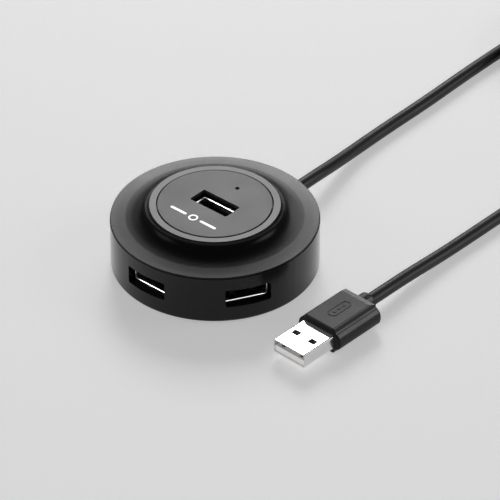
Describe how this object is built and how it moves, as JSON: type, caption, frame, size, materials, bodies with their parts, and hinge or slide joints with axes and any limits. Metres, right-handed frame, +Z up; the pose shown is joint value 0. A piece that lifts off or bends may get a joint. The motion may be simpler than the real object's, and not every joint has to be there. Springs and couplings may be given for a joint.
{
  "type": "usb hub",
  "caption": "Round desktop USB hub with a flared cover, a raised disc with a vertical socket, side sockets, and a captive lead ending in a type A plug.",
  "frame": {"origin": "centre of the circular base, on the surface that the feet stand on", "axes": "+Z up, -Y towards the middle side socket, +Y along the lead where it leaves the hub"},
  "size_m": [0.0896, 0.2282, 0.021],
  "materials": {
    "housing_black": "fine satin, injection moulded",
    "disc_grey": "fine matte grain",
    "adhesive": "double-sided foam tape",
    "feet_rubber": "matte",
    "screw_steel": "zinc plated",
    "board_green": "solder mask",
    "chip_black": "moulded epoxy",
    "tinned_steel": "tinned",
    "capacitor_tan": "ceramic",
    "capacitor_amber": "moulded",
    "led_clear": "clear",
    "lead_jacket": "satin PVC",
    "core_red": "PVC",
    "core_white": "PVC",
    "core_green": "PVC",
    "core_black": "PVC",
    "plug_jacket": "fine matte grain PVC",
    "plug_nickel": "nickel plated, lightly brushed",
    "plug_white": "white",
    "port_nickel": "nickel plated",
    "port_black": "black",
    "contact_gold": "gold flashed",
    "inner_mould": "natural polyethylene"
  },
  "bodies": {
    "root": {"base_shell": "housing_black", "black_core": "core_black", "bulk_capacitors": "capacitor_amber", "case_screws": "screw_steel", "ceramic_capacitors": "capacitor_tan", "chip_leads": "tinned_steel", "chip_resistors": "chip_black", "core_solder_joints": "tinned_steel", "crystal_can": "tinned_steel", "disc_adhesive": "adhesive", "front_port_contacts": "contact_gold", "front_port_insulator": "port_black", "front_port_shell": "port_nickel", "green_core": "core_green", "hub_controller_chip": "chip_black", "lead_coil": "lead_jacket", "lead_hub_run": "lead_jacket", "lead_plug_run": "lead_jacket", "led_light_pipe": "led_clear", "left_port_contacts": "contact_gold", "left_port_insulator": "port_black", "left_port_shell": "port_nickel", "main_board": "board_green", "plug_contacts": "contact_gold", "plug_inner_mould": "inner_mould", "plug_insulator": "plug_white", "plug_overmould": "plug_jacket", "plug_shell": "plug_nickel", "red_core": "core_red", "right_port_contacts": "contact_gold", "right_port_insulator": "port_black", "right_port_shell": "port_nickel", "rubber_feet": "feet_rubber", "status_led": "led_clear", "strain_relief": "lead_jacket", "top_cover": "housing_black", "top_disc": "disc_grey", "top_port_contacts": "contact_gold", "top_port_insulator": "port_black", "top_port_shell": "port_nickel", "white_core": "core_white"}
  },
  "joints": []
}
